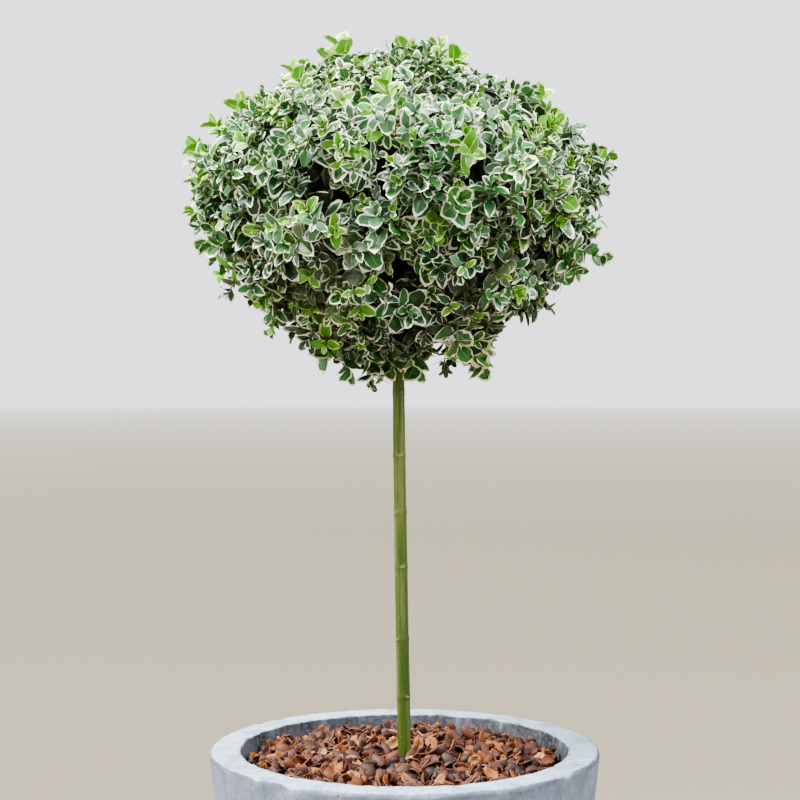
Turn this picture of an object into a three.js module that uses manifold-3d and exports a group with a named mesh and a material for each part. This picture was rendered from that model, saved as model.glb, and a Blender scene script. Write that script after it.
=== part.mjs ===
// A standard wintercreeper (variegated spindle) on a single clear stem, growing in a tapered round planter.
// Units are millimetres and +Z is up. The origin is the centre of the planter's flat underside, and -Y is
// the front. The crown is dense, so each of its masses is a core with twigs and leaves standing out of it.
// Every mass keeps to its own cell of the crown: the space that is nearer to its own centre than to any
// other mass's centre.
import * as THREE from "three";
import { mergeVertices } from "three/addons/utils/BufferGeometryUtils.js";
import Module from "manifold-3d";

// ---- Driving dimensions ----

const PLANTER = {
  height: 322,
  rimRadius: 187.5,
  footRadius: 153,
  rimWidth: 30,
  footWall: 28,
  floor: 26,
  outerEdge: 4.5,
  innerEdge: 2.5,
  footEdge: 5,
  drainCount: 3,
  drainRadius: 8,
  drainCircle: 70,
  segments: 36,
};

const SOIL_TOP = 298;
const MULCH = {
  edgeTop: 307,
  centreTop: 313,
  collar: 2, // room round the foot of the trunk
  segments: 24,
  chips: 26,
  chipLength: 27,
  chipWidth: 20,
  chipKeel: 4,
  chipTilt: 0.45, // at most, in radians
  chipSize: [0.75, 1],
  chipRise: [1.5, 4], // how high a husk's middle lies above the mound
};
const SEAT_GAP = 0.3; // between two pieces that rest on each other

const TRUNK = {
  base: new THREE.Vector3(0.4, 0, SOIL_TOP + SEAT_GAP),
  top: new THREE.Vector3(-6.6, 2, 752),
  bow: new THREE.Vector3(-1.5, -3, 0), // how far the middle bends away from the straight line
  flareRadius: 9.5,
  flareHeight: 16,
  baseRadius: 6.6,
  topRadius: 5.7,
  headRadius: 7.6, // the swelling where the boughs part
  headHeight: 60,
  budSpacing: 46, // between the old leaf nodes, which show as faint swellings
  budSwell: 0.5,
  rings: 22,
  sides: 8,
};

// The crown's outline is a dome with nearly straight flanks above its widest level, and rounder below it.
const CROWN = {
  centre: new THREE.Vector3(-9, 0, 864),
  radius: 209,
  up: 138,
  down: 190,
  upPower: 1.42, // 1 would be a cone and 2 an ellipsoid
  downPower: 1.72,
};

// The tiers of masses. out and rise place their centres, as shares of the crown's radius and height. Their
// boughs leave the trunk drop below its top, every second one step lower, hang by sag times their
// length below a straight line, and end at the height meet above the crown's centre.
const TIERS = [
  { name: "top", count: 1, turn: 0, out: 0, rise: 0.6, drop: 0, step: 0, sag: 0, meet: -12 },
  { name: "upper", count: 5, turn: 90, out: 0.55, rise: 0.33, drop: 15, step: 8, sag: 0.16, meet: 8 },
  { name: "lower", count: 6, turn: 60, out: 0.56, rise: -0.34, drop: 34, step: 9, sag: 0.12, meet: -78 },
];
const HUB = 0.6; // where a mass's twigs part: this share of the way from its bough's tip to its centre

const BOUGH = { baseRadius: 3.4, tipRadius: 2.3, endGap: 8, rings: 3, sides: 6 };

// The shaded inside of the crown. Levels run from 0 at the crown's centre to 1 on its even outline.
const CORE = {
  level: 0.79,
  lowest: -50, // degrees below the level of the crown's centre, where the shaded inside is open
  roughness: 0.07,
  heart: 66, // radius of the open heart that holds the boughs
  ceiling: [
    { out: 0, z: 0 },
    { out: 0.45, z: 4 },
    { out: 0.92, z: 30 },
    { out: 1, z: 14 },
  ],
  lip: 6,
  cellGap: 1.2,
  steps: 5,
  segments: 16,
};
const SPRAY = {
  count: 102,
  level: 0.9,
  levelSpread: [0.96, 1.03],
  leafLevel: 1.04, // no leaf reaches further, but a leader's
  borderGap: 8,
  nodes: 2,
  nodeSpacing: 12,
};
const TWIG = { forkRadius: 2.7, baseRadius: 2.1, tipRadius: 1.2, sides: 3, forkShare: 0.25, perFork: 3 };
const LEAF = {
  length: 46,
  width: 27,
  keel: 2.4,
  droop: 4,
  sink: 4, // how deep its root lies in the twig's tip
  size: [0.88, 1.08],
  nodeShrink: 0.14, // each pair nearer the tip is smaller by this
  tipSize: 0.72,
  tipLean: 0.35,
  lift: [18, 32], // degrees above square to the twig
  nodeLift: 20, // and this much more for each pair nearer the tip
};
const SLIVER = 0.05; // detail smaller than this is smoothed away where solids are joined
const CELL_GAP = 0.5; // between a mass and the border of its cell
const LIMB_GAP = 1; // between foliage and any limb
const TRUNK_KEEP_OUT = 20; // no spray grows nearer than this to the trunk's axis

// Vigorous shoots that stand out of the crown's even outline, each by the place of its tip.
const LEADERS = [
  { x: -62, y: -12, z: 992 },
  { x: 0, y: 14, z: 992 },
  { x: 48, y: -8, z: 980 },
  { x: 125, y: -20, z: 942 },
  { x: -154, y: -24, z: 932 },
  { x: -34, y: -34, z: 694 },
  { x: 66, y: -40, z: 702 },
];

const SEED = 7;

// ---- Small helpers ----

const wasm = await Module();
wasm.setup();

// A seeded generator of even random numbers from 0 to 1.
function randomFrom(seed) {
  let state = seed >>> 0;
  return () => {
    state = (state + 0x6d2b79f5) >>> 0;
    let t = Math.imul(state ^ (state >>> 15), state | 1);
    t = (t + Math.imul(t ^ (t >>> 7), t | 61)) ^ t;
    return ((t ^ (t >>> 14)) >>> 0) / 4294967296;
  };
}
const random = randomFrom(SEED);
const between = (low, high) => low + (high - low) * random();
const degrees = THREE.MathUtils.degToRad;

// A closed geometry as a manifold-3d solid.
function solidOf(geometry) {
  const bare = geometry.clone();
  bare.deleteAttribute("normal");
  bare.deleteAttribute("uv");
  const merged = mergeVertices(bare, 1e-4);
  return new wasm.Manifold(
    new wasm.Mesh({
      numProp: 3,
      vertProperties: merged.attributes.position.array,
      triVerts: new Uint32Array(merged.index.array),
    }),
  );
}

// A manifold-3d solid as a geometry, faceted as it is.
function geometryOf(solid) {
  const mesh = solid.getMesh();
  const geometry = new THREE.BufferGeometry();
  geometry.setAttribute("position", new THREE.BufferAttribute(new Float32Array(mesh.vertProperties), 3));
  geometry.setIndex(new THREE.BufferAttribute(new Uint32Array(mesh.triVerts), 1));
  const faceted = geometry.toNonIndexed();
  faceted.computeVertexNormals();
  return faceted;
}

// The largest body of a solid, so that a scrap or a sealed hollow is dropped.
function mainBody(solid) {
  return solid.decompose().reduce((a, b) => (b.volume() > a.volume() ? b : a));
}

// Joined solids, without the slivers that joining leaves where faces nearly meet.
const unionOf = (solids) => mainBody(solids.reduce((all, one) => all.add(one)).simplify(SLIVER));

function closedGeometry(points, faces) {
  const places = points.flatMap((p) => p.toArray());
  const geometry = new THREE.BufferGeometry();
  geometry.setAttribute("position", new THREE.Float32BufferAttribute(places, 3));
  geometry.setIndex(faces.flat());
  return geometry;
}

function pointsOf(geometry) {
  const places = geometry.attributes.position;
  return Array.from({ length: places.count }, (_, i) => new THREE.Vector3().fromBufferAttribute(places, i));
}

// A tapering limb with flat ends. radiusAt gives its radius from t = 0 at the base to t = 1 at the tip.
function limb(curve, radiusAt, rings, sides) {
  const frames = curve.computeFrenetFrames(rings, false);
  const points = [];
  const faces = [];
  for (let i = 0; i <= rings; i++) {
    const centre = curve.getPointAt(i / rings);
    for (let j = 0; j < sides; j++) {
      const angle = (2 * Math.PI * j) / sides;
      points.push(
        centre
          .clone()
          .addScaledVector(frames.normals[i], radiusAt(i / rings) * Math.cos(angle))
          .addScaledVector(frames.binormals[i], radiusAt(i / rings) * Math.sin(angle)),
      );
    }
  }
  const at = (i, j) => i * sides + (j % sides);
  for (let i = 0; i < rings; i++) {
    for (let j = 0; j < sides; j++) {
      faces.push([at(i, j), at(i, j + 1), at(i + 1, j + 1)], [at(i, j), at(i + 1, j + 1), at(i + 1, j)]);
    }
  }
  for (let j = 1; j < sides - 1; j++) {
    faces.push([at(0, 0), at(0, j + 1), at(0, j)], [at(rings, 0), at(rings, j), at(rings, j + 1)]);
  }
  return closedGeometry(points, faces);
}

const taper = (base, tip) => (t) => THREE.MathUtils.lerp(base, tip, t);

// The points of a rounded corner in a lathe profile, from one angle to another about a centre.
function corner(x, y, radius, fromDegrees, toDegrees, steps) {
  return Array.from({ length: steps + 1 }, (_, i) => {
    const angle = degrees(THREE.MathUtils.lerp(fromDegrees, toDegrees, i / steps));
    return new THREE.Vector2(x + radius * Math.cos(angle), y + radius * Math.sin(angle));
  });
}

// ---- Planter, soil and mulch ----

const wallSlope = (PLANTER.rimRadius - PLANTER.footRadius) / PLANTER.height;
const footInnerRadius = PLANTER.footRadius - PLANTER.footWall;
const rimInnerRadius = PLANTER.rimRadius - PLANTER.rimWidth;
const innerRadiusAt = (z) =>
  THREE.MathUtils.mapLinear(z, PLANTER.floor, PLANTER.height, footInnerRadius, rimInnerRadius);

function planter() {
  const p = PLANTER;
  const outerEdgeCentre = p.rimRadius - p.outerEdge - wallSlope * p.outerEdge;
  const profile = [
    new THREE.Vector2(0, 0),
    ...corner(p.footRadius - p.footEdge, p.footEdge, p.footEdge, -90, 0, 2),
    ...corner(outerEdgeCentre, p.height - p.outerEdge, p.outerEdge, 0, 90, 3),
    ...corner(rimInnerRadius + p.innerEdge, p.height - p.innerEdge, p.innerEdge, 90, 180, 2),
    new THREE.Vector2(footInnerRadius, p.floor),
    new THREE.Vector2(0, p.floor),
  ];
  let body = solidOf(new THREE.LatheGeometry(profile, p.segments).rotateX(Math.PI / 2));
  for (let i = 0; i < p.drainCount; i++) {
    const angle = (2 * Math.PI * i) / p.drainCount;
    const drain = new THREE.CylinderGeometry(p.drainRadius, p.drainRadius, 2 * p.floor, 12)
      .rotateX(Math.PI / 2)
      .translate(p.drainCircle * Math.cos(angle), p.drainCircle * Math.sin(angle), p.floor / 2);
    body = body.subtract(solidOf(drain));
  }
  return geometryOf(body);
}

function soil() {
  const profile = [
    new THREE.Vector2(0, PLANTER.floor + SEAT_GAP),
    new THREE.Vector2(footInnerRadius - SEAT_GAP, PLANTER.floor + SEAT_GAP),
    new THREE.Vector2(innerRadiusAt(SOIL_TOP) - SEAT_GAP, SOIL_TOP),
    new THREE.Vector2(0, SOIL_TOP),
  ];
  return new THREE.LatheGeometry(profile, PLANTER.segments).rotateX(Math.PI / 2);
}

// How high the mulch lies at a distance from the middle.
const mulchTopAt = (r) =>
  THREE.MathUtils.lerp(MULCH.centreTop, MULCH.edgeTop, Math.pow(r / innerRadiusAt(SOIL_TOP), 2));

// Broken husks that lie every way on a low mound.
function mulch() {
  const bottom = SOIL_TOP + SEAT_GAP;
  const hole = TRUNK.flareRadius + MULCH.collar;
  const edge = innerRadiusAt(bottom) - 2 * SEAT_GAP;
  const tops = [1, 0.75, 0.45, 0.2].map((share) => new THREE.Vector2(edge * share, mulchTopAt(edge * share)));
  const profile = [
    new THREE.Vector2(hole, bottom),
    new THREE.Vector2(edge, bottom),
    ...tops,
    new THREE.Vector2(hole, mulchTopAt(hole)),
    new THREE.Vector2(hole, bottom),
  ];
  const bodies = [solidOf(new THREE.LatheGeometry(profile, MULCH.segments).rotateX(Math.PI / 2))];
  const goldenAngle = Math.PI * (3 - Math.sqrt(5));
  for (let i = 0; i < MULCH.chips; i++) {
    const reach = MULCH.chipLength / 2;
    const r = THREE.MathUtils.lerp(hole + reach, edge - reach - 3, Math.sqrt((i + 0.5) / MULCH.chips));
    const angle = i * goldenAngle;
    const height = mulchTopAt(r) + between(...MULCH.chipRise);
    const rest = new THREE.Vector3(r * Math.cos(angle), r * Math.sin(angle), height);
    const lean = () => between(-MULCH.chipTilt, MULCH.chipTilt);
    const tilt = new THREE.Euler(lean(), lean(), between(0, 2 * Math.PI), "ZYX");
    const turn = new THREE.Matrix4().makeRotationFromEuler(tilt).setPosition(rest);
    const size = between(...MULCH.chipSize);
    const husk = blade(MULCH.chipLength * size, MULCH.chipWidth * size, MULCH.chipKeel, 0);
    husk.translate(-reach * size, 0, 0);
    bodies.push(solidOf(husk.applyMatrix4(turn)));
  }
  return geometryOf(unionOf(bodies));
}

// ---- Trunk and boughs ----

const trunkCurve = new THREE.QuadraticBezierCurve3(
  TRUNK.base,
  TRUNK.base.clone().lerp(TRUNK.top, 0.5).add(TRUNK.bow),
  TRUNK.top,
);
const trunkLength = trunkCurve.getLength();

function trunkRadiusAt(t) {
  const height = t * trunkLength;
  const plain = THREE.MathUtils.lerp(TRUNK.baseRadius, TRUNK.topRadius, t);
  const flare = (TRUNK.flareRadius - TRUNK.baseRadius) * Math.max(0, 1 - height / TRUNK.flareHeight) ** 2;
  const nearHead = THREE.MathUtils.smoothstep(height, trunkLength - TRUNK.headHeight, trunkLength);
  const bud = TRUNK.budSwell * Math.max(0, Math.cos((2 * Math.PI * height) / TRUNK.budSpacing)) ** 3;
  return plain + flare + bud + (TRUNK.headRadius - TRUNK.topRadius) * nearHead;
}

// The point on the trunk's axis at a height.
function trunkAxisAt(z) {
  return trunkCurve.getPoint((z - TRUNK.base.z) / (TRUNK.top.z - TRUNK.base.z));
}

function trunk() {
  return limb(trunkCurve, trunkRadiusAt, TRUNK.rings, TRUNK.sides);
}

// Every mass of foliage: its name, the centre of its cell, the hub where its twigs part, and the axis and
// end heading of the bough that carries it.
function layOut() {
  const masses = [];
  for (const tier of TIERS) {
    for (let i = 0; i < tier.count; i++) {
      const angle = degrees(tier.turn + (360 * i) / tier.count);
      const out = new THREE.Vector3(Math.cos(angle), Math.sin(angle), 0);
      const rise = (tier.rise > 0 ? CROWN.up : CROWN.down) * tier.rise;
      const centre = CROWN.centre.clone().addScaledVector(out, CROWN.radius * tier.out);
      centre.z += rise;
      const start = trunkAxisAt(TRUNK.top.z - tier.drop - tier.step * (i % 2));
      const reach = tier.out > 0 ? CORE.heart - BOUGH.endGap : 0;
      const end = CROWN.centre.clone().addScaledVector(out, reach);
      end.z += tier.meet;
      const middle = start.clone().lerp(end, 0.5);
      middle.z -= tier.sag * start.distanceTo(end);
      const name = tier.count > 1 ? `${tier.name}_${i + 1}` : tier.name;
      const axis = new THREE.QuadraticBezierCurve3(start, middle, end);
      const hub = end.clone().lerp(centre, HUB);
      masses.push({ name, centre, hub, axis, heading: axis.getTangent(1).normalize() });
    }
  }
  return masses;
}
const masses = layOut();

// One tapering bough, cut to stand clear of the trunk that it grows from.
function bough(mass, trunkWithGap) {
  const whole = limb(mass.axis, taper(BOUGH.baseRadius, BOUGH.tipRadius), BOUGH.rings, BOUGH.sides);
  return geometryOf(mainBody(solidOf(whole).subtract(trunkWithGap)));
}

// ---- The room that foliage may fill ----

// 0 at the crown's centre and 1 on its even outline.
function levelAt(point) {
  const away = point.clone().sub(CROWN.centre);
  const side = Math.hypot(away.x, away.y) / CROWN.radius;
  const rise = Math.abs(away.z) / (away.z > 0 ? CROWN.up : CROWN.down);
  const power = away.z > 0 ? CROWN.upPower : CROWN.downPower;
  return Math.pow(side ** power + rise ** power, 1 / power);
}

// How deep a point lies in a mass's cell: its distance from the nearest border.
function depthInCell(point, mass) {
  let depth = Infinity;
  for (const other of masses) {
    if (other === mass) continue;
    const across = mass.centre.clone().sub(other.centre);
    const border = mass.centre.clone().lerp(other.centre, 0.5);
    depth = Math.min(depth, point.clone().sub(border).dot(across.normalize()));
  }
  return depth;
}

// Short straight stretches of every limb, for keeping foliage clear of them.
const limbStretches = [
  { curve: trunkCurve, radius: TRUNK.headRadius, steps: 24 },
  ...masses.map((mass) => ({ curve: mass.axis, radius: BOUGH.baseRadius, steps: 4 })),
].flatMap(({ curve, radius, steps }) =>
  Array.from({ length: steps }, (_, i) => ({
    line: new THREE.Line3(curve.getPointAt(i / steps), curve.getPointAt((i + 1) / steps)),
    radius,
  })),
);

function clearOfLimbs(point, margin) {
  const nearest = new THREE.Vector3();
  return limbStretches.every(({ line, radius }) => {
    line.closestPointToPoint(point, true, nearest);
    return nearest.distanceTo(point) > radius + margin + LIMB_GAP;
  });
}

// ---- Twigs, leaves and the core of a mass ----

// A thin leaf or husk with a keel along its midrib: its root at the origin, its tip along +X, its face up +Z.
function blade(length, width, keel, droop) {
  const side = (share, y) => new THREE.Vector3(length * share, (y * width) / 2, keel - droop * share * share);
  const tip = new THREE.Vector3(length, 0, -droop);
  const root = new THREE.Vector3();
  const points = [root, side(0.26, 0.84), side(0.64, 1), tip, side(0.64, -1), side(0.26, -0.84)];
  const face = [
    [0, 5, 1],
    [1, 5, 4],
    [1, 4, 2],
    [2, 4, 3],
  ];
  const underside = [
    [0, 1, 3],
    [1, 2, 3],
    [0, 3, 5],
    [5, 3, 4],
  ];
  return closedGeometry(points, [...face, ...underside]);
}

// The turn that takes a blade's own frame to a heading, with its face towards up.
function facing(root, heading, up) {
  const x = heading.clone().normalize();
  const z = up.clone().addScaledVector(x, -up.dot(x)).normalize();
  const y = z.clone().cross(x);
  return new THREE.Matrix4().makeBasis(x, y, z).setPosition(root);
}

// One leaf on a twig, made smaller until it keeps to its mass's space and clear of other sprays' leaves.
// null where no size does.
function leaf(mass, root, heading, up, size, mostLevel, others) {
  for (const shrink of [1, 0.85, 0.7]) {
    const length = LEAF.length * size * shrink;
    const width = LEAF.width * size * shrink;
    const shape = blade(length, width, LEAF.keel, LEAF.droop * shrink);
    shape.applyMatrix4(facing(root, heading, up));
    const inside = pointsOf(shape).every((p) => depthInCell(p, mass) > CELL_GAP && levelAt(p) < mostLevel);
    const along = heading.clone().setLength(length);
    const clear = [0.1, 0.3, 0.5, 0.7, 0.9].every((t) =>
      clearOfLimbs(root.clone().addScaledVector(along, t), width / 2),
    );
    if (!inside || !clear) continue;
    const body = solidOf(shape);
    if (others.every((other) => body.intersect(other).isEmpty())) return body;
  }
  return null;
}

// A straight twig, or null where it would leave the mass's space or touch a limb.
function twig(mass, from, to, baseRadius, tipRadius) {
  const ends = [from, to].every((p) => depthInCell(p, mass) > CELL_GAP + baseRadius);
  const clear = [0.3, 0.6, 0.9].every((t) => clearOfLimbs(from.clone().lerp(to, t), baseRadius));
  if (!ends || !clear) return null;
  return solidOf(limb(new THREE.LineCurve3(from, to), taper(baseRadius, tipRadius), 1, TWIG.sides));
}

// A box that fills the space on one side of a plane.
function halfSpace(point, normal) {
  const size = 4 * CROWN.radius;
  const turn = new THREE.Quaternion().setFromUnitVectors(new THREE.Vector3(0, 0, 1), normal);
  const place = new THREE.Matrix4().makeRotationFromQuaternion(turn).setPosition(point);
  return solidOf(new THREE.BoxGeometry(size, size, size).translate(0, 0, size / 2).applyMatrix4(place));
}

// The crown's shaded inside, round an open heart that holds the boughs. Its outside is a little uneven.
function shadedInside() {
  const outline = Array.from({ length: CORE.steps + 1 }, (_, i) => {
    const angle = degrees(THREE.MathUtils.lerp(CORE.lowest, 90, i / CORE.steps));
    const height = angle > 0 ? CROWN.up : CROWN.down;
    const round = 2 / (angle > 0 ? CROWN.upPower : CROWN.downPower);
    return new THREE.Vector2(
      i === CORE.steps ? 0 : CORE.level * CROWN.radius * Math.cos(angle) ** round,
      Math.sign(angle) * CORE.level * height * Math.abs(Math.sin(angle)) ** round,
    );
  });
  const heart = [
    ...CORE.ceiling.map(({ out, z }) => new THREE.Vector2(CORE.heart * out, z)),
    new THREE.Vector2(CORE.heart, outline[0].y + CORE.lip),
    outline[0],
  ];
  const shell = new THREE.LatheGeometry([...outline, ...heart], CORE.segments).rotateX(Math.PI / 2);
  shell.deleteAttribute("normal");
  shell.deleteAttribute("uv");
  const merged = mergeVertices(shell);
  const place = merged.attributes.position;
  const onOutline = (p) => levelAt(p.clone().add(CROWN.centre)) > CORE.level * 0.97;
  for (let i = 0; i < place.count; i++) {
    const point = new THREE.Vector3().fromBufferAttribute(place, i);
    if (onOutline(point)) point.multiplyScalar(between(1 - CORE.roughness, 1 + CORE.roughness));
    place.setXYZ(i, point.x, point.y, point.z);
  }
  return solidOf(merged.translate(...CROWN.centre.toArray()));
}

// A mass's core: the part of the shaded inside that lies in the mass's cell.
function core(mass, inside) {
  let body = inside;
  for (const other of masses) {
    if (other === mass) continue;
    const across = mass.centre.clone().sub(other.centre).normalize();
    const border = mass.centre.clone().lerp(other.centre, 0.5).addScaledVector(across, CORE.cellGap);
    body = body.intersect(halfSpace(border, across));
  }
  return mainBody(body);
}

// The tips of all sprays, spread evenly over the crown, and the standing leaders.
function sprayTips() {
  const goldenAngle = Math.PI * (3 - Math.sqrt(5));
  const tips = [];
  for (let i = 0; i < SPRAY.count; i++) {
    const rise = 1 - (2 * (i + 0.5)) / SPRAY.count;
    const side = Math.sqrt(1 - rise * rise);
    const away = new THREE.Vector3(side * Math.cos(i * goldenAngle), side * Math.sin(i * goldenAngle), rise);
    const unit = levelAt(CROWN.centre.clone().add(away));
    const level = SPRAY.level * between(...SPRAY.levelSpread);
    tips.push({ point: CROWN.centre.clone().addScaledVector(away, level / unit), leader: false });
  }
  for (const { x, y, z } of LEADERS) tips.push({ point: new THREE.Vector3(x, y, z), leader: true });
  return tips;
}

// Opposite pairs of leaves, each pair square to the last, and one leaf at the tip.
function sprayLeaves(mass, tip, axis, leader, others) {
  const mostLevel = leader ? Infinity : SPRAY.leafLevel;
  const across = new THREE.Vector3(0, 0, 1).cross(axis);
  if (across.length() < 0.2) across.set(1, 0, 0);
  across.normalize();
  const leaves = [];
  const start = between(0, Math.PI);
  for (let node = 0; node < SPRAY.nodes; node++) {
    const below = (SPRAY.nodes - node) * SPRAY.nodeSpacing - LEAF.sink;
    const root = tip.clone().addScaledVector(axis, -below);
    const lift = degrees(between(...LEAF.lift) + LEAF.nodeLift * node);
    for (const turn of [0, Math.PI]) {
      const side = across.clone().applyAxisAngle(axis, start + turn + (node * Math.PI) / 2);
      const heading = side.multiplyScalar(Math.cos(lift)).addScaledVector(axis, Math.sin(lift));
      const size = between(...LEAF.size) - LEAF.nodeShrink * node;
      leaves.push(leaf(mass, root, heading, axis, size, mostLevel, others));
    }
  }
  const lean = across.clone().applyAxisAngle(axis, start + between(0, Math.PI));
  const heading = axis.clone().addScaledVector(lean, LEAF.tipLean).normalize();
  const root = tip.clone().addScaledVector(axis, -LEAF.sink);
  leaves.push(leaf(mass, root, heading, lean.negate(), LEAF.tipSize, mostLevel, others));
  return leaves.filter(Boolean);
}

// Moves a spray's tip in from the border of its cell, so that its leaves have room.
function setIn(tip, mass) {
  for (let i = 0; i < 8; i++) {
    const short = SPRAY.borderGap - depthInCell(tip, mass);
    if (short <= 0) break;
    tip.addScaledVector(mass.centre.clone().sub(tip).normalize(), short + 1);
  }
  return tip;
}

// Groups tips of one mass by nearness, each group to be carried by one fork.
function forksOf(tips) {
  const left = [...tips];
  const forks = [];
  while (left.length) {
    const first = left.shift();
    left.sort((a, b) => a.point.distanceTo(first.point) - b.point.distanceTo(first.point));
    forks.push([first, ...left.splice(0, TWIG.perFork - 1)]);
  }
  return forks;
}

// One mass: stem, core, forking twigs and leafy sprays, joined into one solid.
function foliage(mass, tips, inside) {
  const bodies = [core(mass, inside)];
  const leaves = [];
  const stemStart = mass.axis.getPoint(1).addScaledVector(mass.heading, SEAT_GAP);
  const stemCurve = new THREE.QuadraticBezierCurve3(
    stemStart,
    stemStart.clone().addScaledVector(mass.heading, stemStart.distanceTo(mass.hub) / 2),
    mass.hub,
  );
  bodies.push(solidOf(limb(stemCurve, taper(BOUGH.tipRadius, TWIG.baseRadius), 2, BOUGH.sides)));
  for (const fork of forksOf(tips)) {
    const sum = fork.reduce((all, tip) => all.add(tip.point), new THREE.Vector3());
    const middle = sum.divideScalar(fork.length);
    const parting = mass.hub.clone().lerp(middle, TWIG.forkShare);
    bodies.push(twig(mass, mass.hub, parting, TWIG.forkRadius, TWIG.baseRadius));
    for (const { point, leader } of fork) {
      const shoot = twig(mass, parting, point, TWIG.baseRadius, TWIG.tipRadius);
      if (!shoot) continue;
      const axis = point.clone().sub(parting).normalize();
      bodies.push(shoot);
      leaves.push(...sprayLeaves(mass, point, axis, leader, leaves));
    }
  }
  return geometryOf(unionOf([...bodies, ...leaves].filter(Boolean)));
}

// ---- The whole plant ----

const material = (hex, roughness) => new THREE.MeshStandardMaterial({ color: hex, roughness, metalness: 0 });
const MATERIALS = {
  cement: material(0xb4b9bf, 0.85),
  soil: material(0x33261d, 1),
  husk: material(0x7c4a36, 0.8),
  stem: material(0x6f8a35, 0.55),
  bough: material(0x5f6f3a, 0.7),
  foliage: material(0x5f8a5c, 0.5),
};

const plant = new THREE.Group();
function addPiece(name, geometry, look) {
  const mesh = new THREE.Mesh(geometry, look);
  mesh.name = name;
  plant.add(mesh);
}

addPiece("planter", planter(), MATERIALS.cement);
addPiece("potting_soil", soil(), MATERIALS.soil);
addPiece("husk_mulch", mulch(), MATERIALS.husk);
addPiece("trunk", trunk(), MATERIALS.stem);

const trunkWithGap = solidOf(
  limb(trunkCurve, (t) => trunkRadiusAt(t) + SEAT_GAP, TRUNK.rings, TRUNK.sides).translate(0, 0, SEAT_GAP),
);
for (const mass of masses) addPiece(`bough_${mass.name}`, bough(mass, trunkWithGap), MATERIALS.bough);

const tipsOf = new Map(masses.map((mass) => [mass, []]));
for (const { point, leader } of sprayTips()) {
  const axis = trunkAxisAt(Math.min(point.z, TRUNK.top.z));
  const aside = Math.hypot(point.x - axis.x, point.y - axis.y);
  if (point.z < TRUNK.top.z && aside < TRUNK_KEEP_OUT) continue;
  const nearest = (a, b) => (point.distanceTo(b.centre) < point.distanceTo(a.centre) ? b : a);
  const mass = masses.reduce(nearest);
  tipsOf.get(mass).push({ point: setIn(point, mass), leader });
}
const inside = shadedInside();
for (const mass of masses) {
  addPiece(`foliage_${mass.name}`, foliage(mass, tipsOf.get(mass), inside), MATERIALS.foliage);
}

export default plant;
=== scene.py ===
import math

import bmesh
import bpy
import numpy as np
from mathutils import Matrix, Quaternion, Vector, noise


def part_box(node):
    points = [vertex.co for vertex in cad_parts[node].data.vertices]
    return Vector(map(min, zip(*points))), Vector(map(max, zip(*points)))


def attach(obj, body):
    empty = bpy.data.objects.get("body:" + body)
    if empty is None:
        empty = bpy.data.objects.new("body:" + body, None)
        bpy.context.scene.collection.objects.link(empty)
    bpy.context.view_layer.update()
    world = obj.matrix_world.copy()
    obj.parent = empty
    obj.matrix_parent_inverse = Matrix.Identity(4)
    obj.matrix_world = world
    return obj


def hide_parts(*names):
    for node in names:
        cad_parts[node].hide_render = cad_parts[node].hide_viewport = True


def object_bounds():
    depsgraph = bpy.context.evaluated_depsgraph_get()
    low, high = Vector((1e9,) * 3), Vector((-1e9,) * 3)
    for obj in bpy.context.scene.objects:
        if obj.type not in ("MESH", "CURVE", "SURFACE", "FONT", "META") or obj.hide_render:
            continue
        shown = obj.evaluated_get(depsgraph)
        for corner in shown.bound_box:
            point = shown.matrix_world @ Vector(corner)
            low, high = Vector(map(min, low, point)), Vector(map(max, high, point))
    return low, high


# A standard wintercreeper with cream-edged leaves, in a tapered round planter of cast cement.
# Lengths are metres, and MM turns millimetres into them. +Z is up and -Y is the front.

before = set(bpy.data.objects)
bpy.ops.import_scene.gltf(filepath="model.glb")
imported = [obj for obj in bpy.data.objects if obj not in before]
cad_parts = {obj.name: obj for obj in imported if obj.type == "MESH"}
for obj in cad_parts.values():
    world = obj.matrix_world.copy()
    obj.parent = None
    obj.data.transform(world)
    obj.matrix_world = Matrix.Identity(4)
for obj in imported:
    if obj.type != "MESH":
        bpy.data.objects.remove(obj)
cad_low, cad_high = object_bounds()

MM = 0.001
UP = Vector((0, 0, 1))
GOLDEN_ANGLE = math.pi * (3 - math.sqrt(5))
random = np.random.default_rng(23)

# ---- Driving dimensions ----

_, planter_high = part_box("planter")
mulch_low, mulch_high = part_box("husk_mulch")

RIM_HEIGHT = planter_high.z
RIM_RADIUS = 187.5 * MM
FOOT_RADIUS = 153 * MM
RIM_WIDTH = 30 * MM
FOOT_WALL = 28 * MM
FLOOR_THICKNESS = 26 * MM
OUTER_EDGE = 4 * MM
INNER_EDGE = 1.8 * MM
FOOT_EDGE = 5 * MM
DRAIN_RADIUS = 8 * MM
DRAIN_CIRCLE = 70 * MM
DRAINS = 3
WAVER = 0.35 * MM
CHIP_DEPTH = 4.2 * MM
CHIP_LEVEL = 0.16
PLANTER_SIDES = 288

MULCH_EDGE_TOP = 305 * MM
MULCH_CENTRE_TOP = 315 * MM
BED_DEPTH = 8 * MM
HUSK_LENGTH = (10 * MM, 22 * MM)
HUSK_SHAPES = 14
SMALL_HUSK_SHARE = 0.15
# Each layer of husks: how many, how high above the mulch's top, and how far they may tilt.
HUSK_LAYERS = [(560, -6 * MM, 0.5), (600, -2 * MM, 0.9), (520, 3 * MM, 1.5)]

TRUNK_BASE = Vector((0.4, 0, 298.3)) * MM
TRUNK_TOP = Vector((-6.6, 2, 752)) * MM
TRUNK_BOW = Vector((-1.5, -3, 0)) * MM
TRUNK_RADIUS = (6.5 * MM, 5.6 * MM)
FLARE_RADIUS = 9.5 * MM
FLARE_HEIGHT = 16 * MM
HEAD_RADIUS = 7.6 * MM
HEAD_HEIGHT = 60 * MM
TRUNK_CLEARANCE = 12 * MM
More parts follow.
